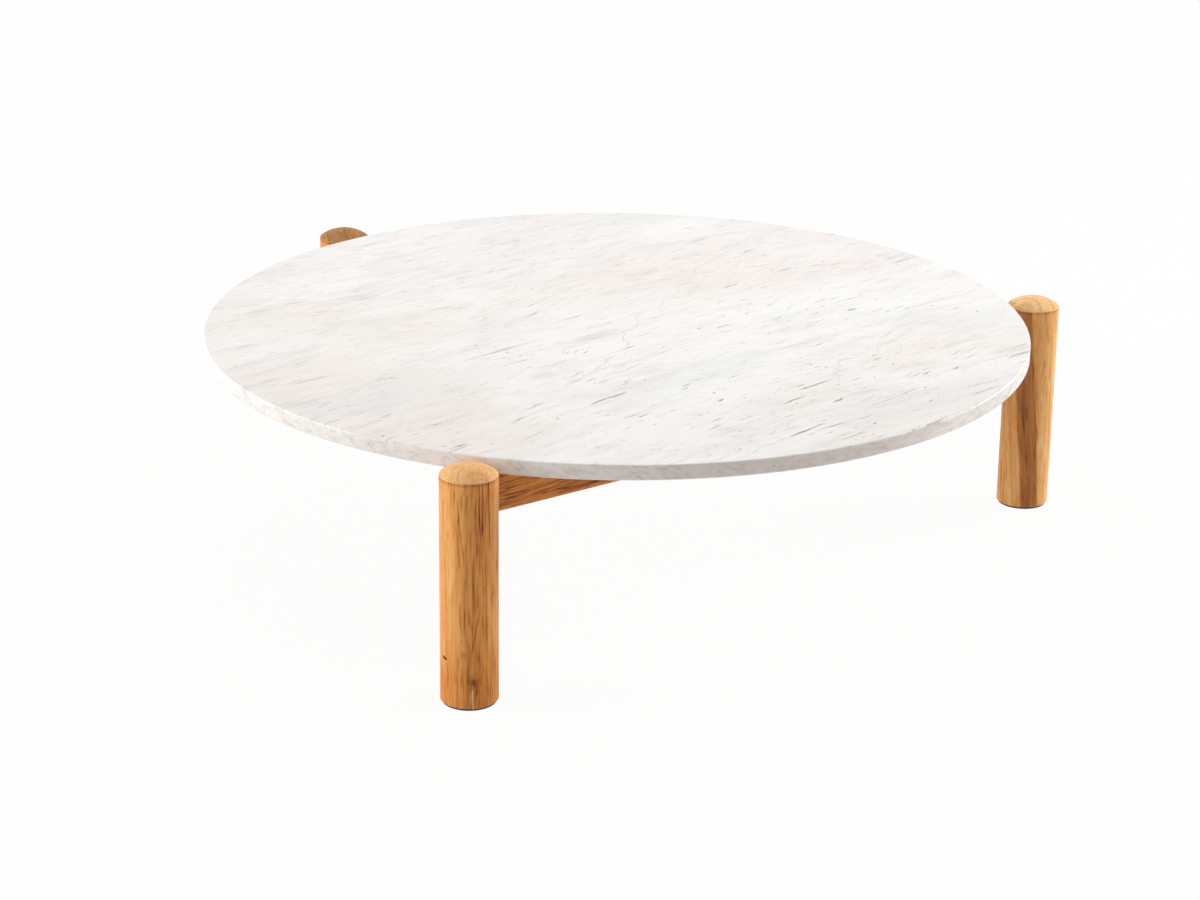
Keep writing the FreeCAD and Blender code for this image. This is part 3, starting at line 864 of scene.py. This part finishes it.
def wingScrews():  # start and direction of each of a corner's block screws
    places = []
    for sign in (1, -1):
        for reach in wingScrewPlaces():
            start = onBearing(reach, wingInner - screw["sink"], sign)
            start.z = jointHeight
            places.append((start, Vector((-sine, sign * cosine, 0))))
    return places


def countersink(name, length, grow=0.0, mouth=0.0):  # a screw, or its hole with a mouth, head down
    head, shank = screw["head"] + grow, screw["shank"] + grow
    profile = [(0, -mouth), (head, -mouth), (head, 0), (shank, screw["headHeight"]),
               (shank, length - shank), (0, length)]
    if not mouth:
        profile = [(0, 0)] + profile[2:]
    return turnOnLathe(name, profile, screw["steps"])


def aim(piece, start, direction):  # from the Z axis to a start point and a direction
    piece.rotation_euler = direction.to_track_quat("Z", "Y").to_euler()
    piece.location = start
    return settle(piece)


def atCorners(piece, name):  # a list of copies, one at each corner
    twins = [copyTo(piece, name + "_" + corner, turn, place) for corner, turn, place in corners]
    bpy.data.objects.remove(piece)
    return twins


def dressSet(piece, name, finish, node):  # the copies at the corners, joined into one piece
    dress(joined(name, atCorners(piece, name)), finish, "base", "steel", node)


def buildBlocks():
    noseReach = (mitreInner + chevron["noseGap"] - innerInset * sine) / cosine
    upper = [onBearing(noseReach, innerInset), onBearing(chevron["wingReach"], innerInset),
             onBearing(chevron["wingReach"], wingInner), onBearing(seatReach, wingInner)]
    lower = [Vector((p.x, -p.y, 0)) for p in reversed(upper)]
    body = standUp("corner_blank", upper + lower, lowBlock.z, highBlock.z)
    softenEdges(body, sharpCorner(body), *chevron["edge"])
    cutters = [rod("boltHole", bolt["radius"] + chevron["holeRoom"], onAxis(0), onAxis(2 * seatX))]
    for start, direction in wingScrews():
        hole = countersink("screwHole", screw["length"], screw["room"], screw["mouth"])
        cutters.append(aim(hole, start, direction))
    carve(body, joined("blockCutter", cutters))
    finishes = []
    twins = atCorners(body, "chevron_block")
    for twin, (name, turn, place), seed in zip(twins, corners, chevron["seeds"]):
        middle = Vector(place) + onAxis(0)
        finish = teakFinish("sawnTeak_" + name, middle, -turn, seed=seed, **chevron["look"])
        dress(twin, finish, "base", "block_teak", "corner_block_" + name)
        finishes.append(finish)
    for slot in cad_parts["loose_tenons"].material_slots:
        slot.material = finishes[0]


def crossHead(piece):  # the cross recess in a screw's head
    size = (screw["slotLong"], screw["slotWide"], 2 * screw["slotDeep"])
    taper = (screw["slotTaper"], screw["slotTaper"], 1.0)
    for turn in (0.0, math.pi / 2):
        bar = block("slot", size, (0, 0, 0), turn)
        pick(bar, "VERT", lambda p: p.z > 0)
        bpy.ops.transform.resize(value=taper, center_override=(0, 0, 0))
        endEdit()
        carve(piece, bar)
    return piece


def threadedStud(length):
    radius, chamfer, pitch = bolt["radius"], bolt["endChamfer"], bolt["pitch"]
    core = radius - bolt["threadDepth"]
    start = length - bolt["pastNut"] - nut["height"] - washer["thickness"] - bolt["threadStart"]
    shaft = turnOnLathe("shaft", [
        (0, 0), (radius - chamfer, 0), (radius, chamfer), (radius, start), (core, start + chamfer),
        (core, length - chamfer), (core - chamfer, length), (0, length)], bolt["steps"])
    root = core - bolt["ridgeRoot"]
    ridge = drawLine("ridge", [
        (root, 0, start), (radius, 0, start + pitch / 2),
        (root, 0, start + pitch * bolt["ridgeShare"]), (root, 0, start)])
    tidyShell(ridge)
    bpy.ops.object.modifier_add(type="SCREW")
    coil = ridge.modifiers[-1]
    coil.steps = coil.render_steps = bolt["coilSteps"]
    coil.screw_offset = pitch
    coil.iterations = int((length - chamfer - start) / pitch) - 1
    bpy.ops.object.modifier_apply(modifier=coil.name)
    openAll(ridge)
    bpy.ops.mesh.fill_holes(sides=4)
    endEdit()
    tidyShell(ridge)
    return joined("stud", [shaft, ridge])


def buildFasteners(finish):
    boltStart = notchApex - bolt["inLeg"]
    length = seatX - boltStart + washer["thickness"] + nut["height"] + bolt["pastNut"]
    stud = aim(threadedStud(length), onAxis(boltStart), outward)
    dressSet(stud, "hanger_bolt_set", finish, "hanger_bolts")

    ring = turnOnLathe("ring", [
        (washer["bore"], 0), (washer["radius"], 0), (washer["radius"], washer["thickness"]),
        (washer["bore"], washer["thickness"]), (washer["bore"], 0)], washer["steps"])
    softenEdges(ring, sharpCorner(ring), *washer["edge"])
    aim(ring, onAxis(seatX), outward)
    dressSet(ring, "hanger_washer_set", finish, "hanger_washers")

    corner, tall = nut["acrossFlats"] / 2 / math.cos(math.pi / 6), nut["height"]
    hexagon = rod("hexagon", corner, (0, 0, 0), (0, 0, tall), 6)
    flat = corner - 2 * nut["chamfer"]
    cap = turnOnLathe("cap", [
        (0, 0), (flat, 0), (corner, nut["chamfer"]), (corner, tall - nut["chamfer"]), (flat, tall),
        (0, tall)], nut["steps"])
    carve(hexagon, cap, "INTERSECT")
    carve(hexagon, rod("bore", nut["bore"], (0, 0, -tall), (0, 0, 2 * tall)))
    aim(hexagon, onAxis(seatX + washer["thickness"]), outward)
    dressSet(hexagon, "hanger_nut_set", finish, "hanger_nuts")

    one = crossHead(countersink("wing_screw", screw["length"]))
    twins = []
    for start, direction in wingScrews():
        twins.append(aim(copyTo(one, "wing_screw_copy"), start, direction))
    bpy.data.objects.remove(one)
    dressSet(joined("corner_screws", twins), "wing_screw_set", finish, "block_screws")


# Foot pads and their screws, silicone bumpers

pad = {"segments": 64, "spigot": 0.028, "edge": (0.0012, 4), "screwSink": 0.001,
       "screwLength": 0.032}
bumper = {"segments": 40, "edge": (0.0006, 3), "radius": 0.008, "placeShares": (-0.62, 0.0, 0.62)}


def buildPads(nylon, steel):
    hole, mouth = screw["shank"] + screw["room"], screw["head"] + screw["room"]
    thick = highPad.z - lowPad.z
    disc = turnOnLathe("pad", [
        (hole, thick), (hole, pad["screwSink"] + screw["headHeight"]), (mouth, pad["screwSink"]),
        (mouth, 0), (padRadius, 0), (padRadius, lowLeg.z), (pad["spigot"], lowLeg.z),
        (pad["spigot"], thick), (hole, thick)], pad["segments"])
    softenEdges(
        disc, lambda a, b: max(a.z, b.z) < mergeGap and min(a.length, b.length) > mouth + mergeGap,
        *pad["edge"])
    for name, twin in zip(cornerNames, atCorners(disc, "nylon_pad")):
        dress(twin, nylon, "base", "pad_nylon", "foot_pad_" + name)
    one = crossHead(countersink("pad_screw", pad["screwLength"]))
    one.location.z = pad["screwSink"]
    settle(one)
    dressSet(one, "pad_screw_set", steel, "pad_screws")


def buildBumpers(finish):
    low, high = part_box("stone_bumpers")
    radius = bumper["radius"]
    one = turnOnLathe("bumper", [
        (0, low.z), (radius, low.z), (radius, high.z), (0, high.z)], bumper["segments"])

    def upperRim(a, b):
        return min(a.z, b.z) > high.z - mergeGap and min(a.xy.length, b.xy.length) > radius / 2

    softenEdges(one, upperRim, *bumper["edge"])
    twins = []
    for turn in railTurns:
        for share in bumper["placeShares"]:
            place = Matrix.Rotation(turn, 3, "Z") @ Vector((share * railHalf, railReach, 0))
            twins.append(copyTo(one, "bumper_copy", 0.0, place))
    bpy.data.objects.remove(one)
    dress(joined("clear_bumper_set", twins), finish, "base", "silicone", "stone_bumpers")


# Finishes of the small pieces

small = {
    "noise": (3.0, 0.6), "glossBand": (0.3, 0.7), "bumpDistance": 0.0002,
    # tone and gloss are a noise's stretch and seed
    "clearSilicone": {
        "tone": ((260, 260, 260), 3.0), "gloss": ((260, 260, 260), 3.0), "toneBand": (0.35, 0.7),
        "under": (236, 240, 241), "over": (214, 221, 224), "rough": (0.3, 0.45), "bump": 0.0,
        "sockets": {"Transmission Weight": 0.35, "IOR": 1.41}},
    "blackNylon": {
        "tone": ((60, 60, 300), 9.0), "gloss": ((900, 900, 900), 5.0), "toneBand": (0.45, 0.75),
        "under": (34, 33, 32), "over": (62, 60, 58), "rough": (0.42, 0.62), "bump": 0.2,
        "sockets": {}},
    "stainlessSteel": {
        "tone": ((420, 420, 3200), 4.0), "gloss": ((420, 420, 3200), 4.0), "toneBand": (0.3, 0.75),
        "under": (206, 206, 204), "over": (168, 169, 170), "rough": (0.24, 0.42), "bump": 0.08,
        "sockets": {"Metallic": 1.0}},
}


def smallFinish(name):
    look = small[name]
    finish, tree, shader, where = newFinish(name, look["sockets"])
    tone, gloss = [cloud(tree, where, stretch, *small["noise"], seed)
                   for stretch, seed in (look["tone"], look["gloss"])]
    amount = fade(tree, tone, *look["toneBand"])
    feed(tree, shader, {
        "Base Color": tint(tree, amount, shade(*look["under"]), shade(*look["over"])),
        "Roughness": fade(tree, gloss, *small["glossBand"], *look["rough"])})
    if look["bump"]:
        feed(tree, shader, {"Normal": bumped(tree, gloss, look["bump"], small["bumpDistance"])})
    return finish


# Studio

studio = {
    "floorSize": 40.0, "floorDrop": 0.0003, "floorGrey": (0.86, 0.845, 0.83, 1), "glow": 0.955,
    "white": (1, 1, 1, 1), "ambient": 0.34,
    "lamps": {
        "left_softbox": {
            "place": (-8.3, -3.2, 2.6), "aim": (0, -0.1, 0.2), "size": (6.0, 4.4), "power": 645},
        "right_softbox": {
            "place": (6.6, 5.0, 3.2), "aim": (0, 0.1, 0.2), "size": (5.0, 4.2), "power": 580},
        "top_softbox": {
            "place": (0.0, 0.6, 3.4), "aim": (0, 0, 0.3), "size": (3.2, 3.2), "power": 36},
    },
}
view = {
    "place": (1.2528, -4.1332, 1.6939), "heading": math.radians(17.163),
    "tilt": math.radians(70.061), "roll": math.radians(0.66), "lens": 92.92, "sensor": 36.0,
}


def shownRays(tree):  # rays on which the white background shows
    path = put(tree, "LightPath")
    either = calc(tree, "MAXIMUM", path["Is Camera Ray"], path["Is Glossy Ray"])
    return calc(tree, "MAXIMUM", either, path["Is Transmission Ray"])


def buildStudio():
    bpy.ops.mesh.primitive_plane_add(
        size=studio["floorSize"], location=(0, 0, -studio["floorDrop"]))
    floor = named("studio_floor")
    paint = bpy.data.materials.new("paleFloor")
    paint.use_nodes = True
    tree = paint.node_tree
    tree.nodes.remove(tree.nodes["Principled BSDF"])
    matt = put(tree, "BsdfDiffuse", {"Color": studio["floorGrey"]})[0]
    glow = put(tree, "Emission", {"Color": studio["white"], "Strength": 1.0})[0]
    share = times(tree, shownRays(tree), studio["glow"])
    both = put(tree, "MixShader", {0: share, 1: matt, 2: glow})[0]
    feed(tree, tree.nodes["Material Output"], {"Surface": both})
    floor.data.materials.append(paint)

    world = bpy.data.worlds.new("paleRoom")
    world.use_nodes = True
    bpy.context.scene.world = world
    tree = world.node_tree
    soft = tree.nodes["Background"]
    feed(tree, soft, {"Color": studio["white"], "Strength": studio["ambient"]})
    bright = put(tree, "Background", {"Color": studio["white"], "Strength": 1.0})[0]
    both = put(tree, "MixShader", {0: shownRays(tree), 1: soft.outputs[0], 2: bright})[0]
    feed(tree, tree.nodes["World Output"], {"Surface": both})

    for name, lamp in studio["lamps"].items():
        bpy.ops.object.light_add(type="AREA", location=lamp["place"])
        light = bpy.context.active_object
        light.name = name
        light.data.shape = "RECTANGLE"
        light.data.size, light.data.size_y = lamp["size"]
        light.data.energy = lamp["power"]
        toward = Vector(lamp["aim"]) - Vector(lamp["place"])
        light.rotation_euler = toward.to_track_quat("-Z", "Y").to_euler()
        light.visible_camera = False


def buildCamera():
    bpy.ops.object.camera_add(location=view["place"])
    camera = bpy.context.active_object
    camera.name = "photo_camera"
    turn = Matrix.Rotation(view["heading"], 3, "Z") @ Matrix.Rotation(view["tilt"], 3, "X")
    camera.rotation_euler = (turn @ Matrix.Rotation(view["roll"], 3, "Z")).to_euler()
    camera.data.lens = view["lens"]
    camera.data.sensor_width = view["sensor"]
    bpy.context.scene.camera = camera
    bpy.context.scene.view_settings.view_transform = "Standard"


# Build

buildCamera()
buildStudio()
print("camera and studio ready")
buildStone()
print("stone ready")
buildLegs()
print("legs ready")
buildRails()
print("rails ready")
buildBlocks()
print("corner blocks ready")
steelLook = smallFinish("stainlessSteel")
buildFasteners(steelLook)
buildPads(smallFinish("blackNylon"), steelLook)
buildBumpers(smallFinish("clearSilicone"))
print("small pieces ready")
